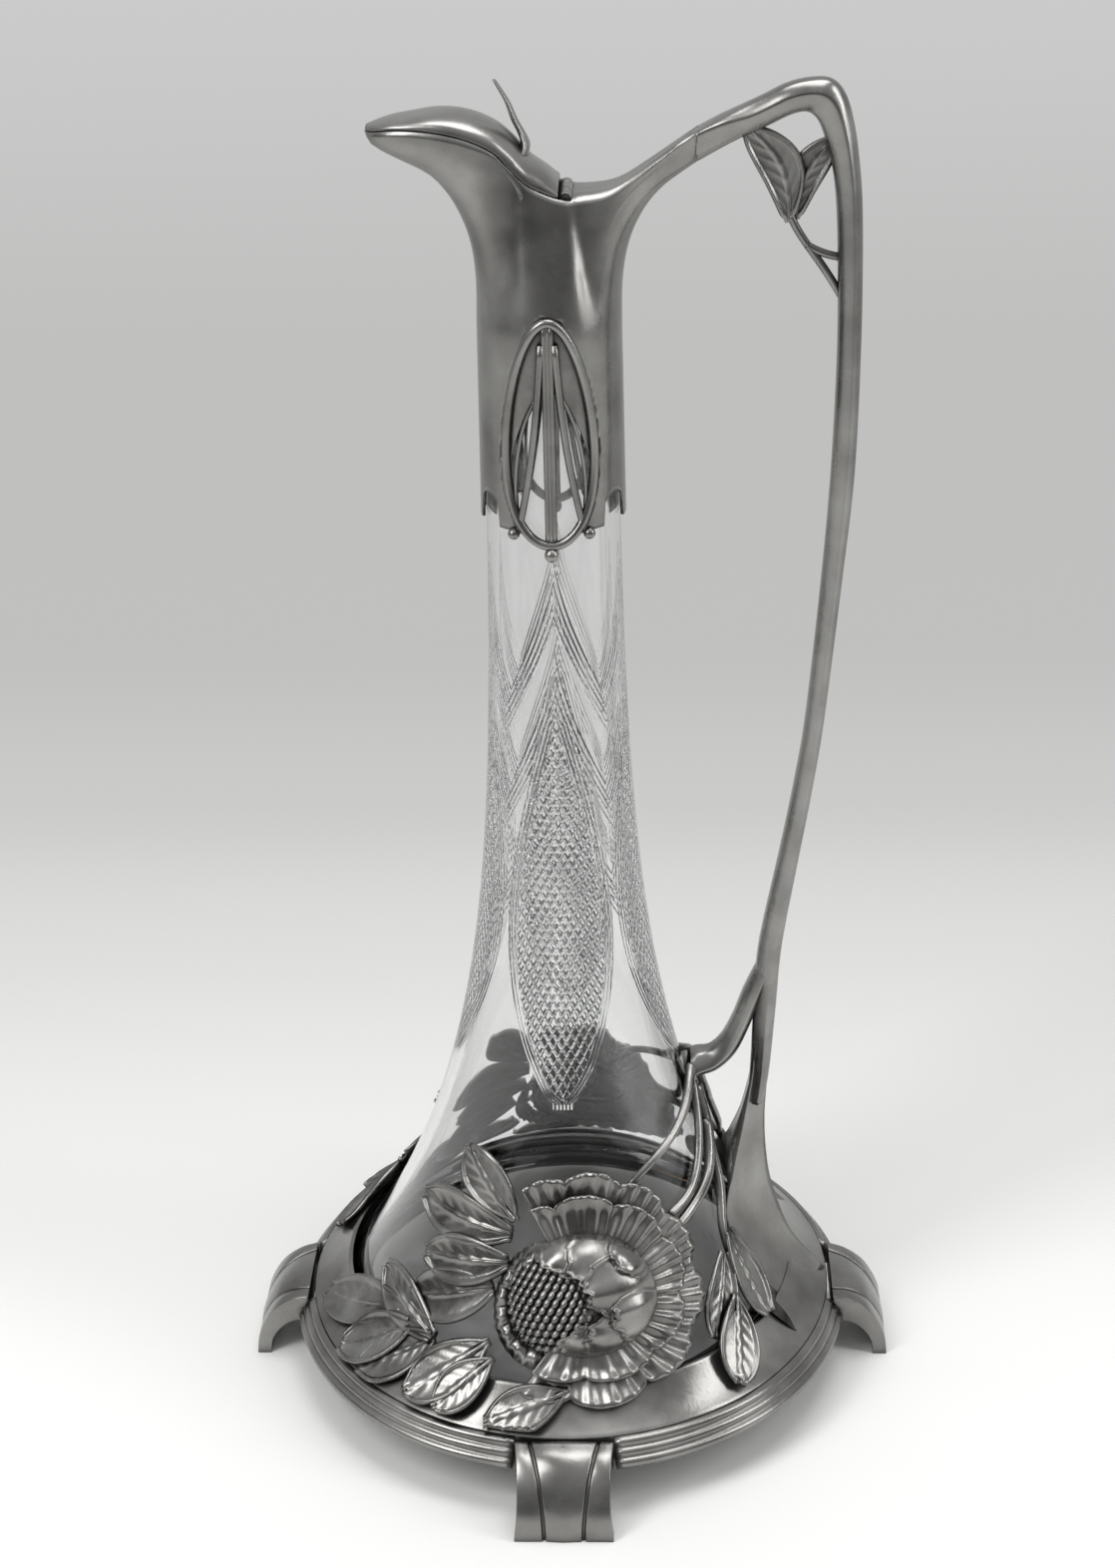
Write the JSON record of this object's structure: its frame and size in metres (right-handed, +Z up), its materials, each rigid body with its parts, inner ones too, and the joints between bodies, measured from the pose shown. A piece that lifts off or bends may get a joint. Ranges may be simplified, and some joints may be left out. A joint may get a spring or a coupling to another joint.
{
  "type": "claret jug",
  "caption": "Tall trumpet-shaped cut glass claret jug in a footed metal skirt with relief flowers, a neck mount with a hinged lid, and a forked handle.",
  "frame": {"origin": "on the surface it stands on, under the axis of the glass", "axes": "+Z up along the axis of the glass, +X towards the handle, -X towards the spout, -Y the side seen in the picture"},
  "size_m": [0.208, 0.208, 0.411],
  "materials": {
    "silver": "cast silver plate, polished on the high parts and dark in the recesses",
    "cut_glass": "clear cut crystal",
    "cork": "cork",
    "plaster": "plaster of Paris"
  },
  "bodies": {
    "jug": {"glass_body": "cut_glass", "skirt": "silver", "sail": "silver", "rim_band": "silver", "seat_pads": "cork", "foot_front": "silver", "foot_right": "silver", "foot_back": "silver", "foot_left": "silver", "neck_mount": "silver", "neck_plaster": "plaster", "panel_front": "silver", "panel_back": "silver", "beads_front": "silver", "beads_back": "silver", "hinge_pin": "silver", "handle": "silver", "handle_leaves": "silver", "flower_head_front": "silver", "flower_head_back": "silver", "ruff_front": "silver", "ruff_back": "silver", "leaves_left_front": "silver", "leaves_left_back": "silver", "leaves_low_front": "silver", "leaves_low_back": "silver", "leaves_right_front": "silver", "leaves_right_back": "silver", "stalks_front": "silver", "stalks_back": "silver"},
    "lid": {"lid": "silver", "thumb_piece": "silver"}
  },
  "joints": [
    {"name": "lid_hinge", "type": "hinge", "parent": "jug", "child": "lid", "pos_m": [0.0053, 0, 0.3808], "axis": [0, 1, 0], "range_deg": [0, 90]}
  ]
}
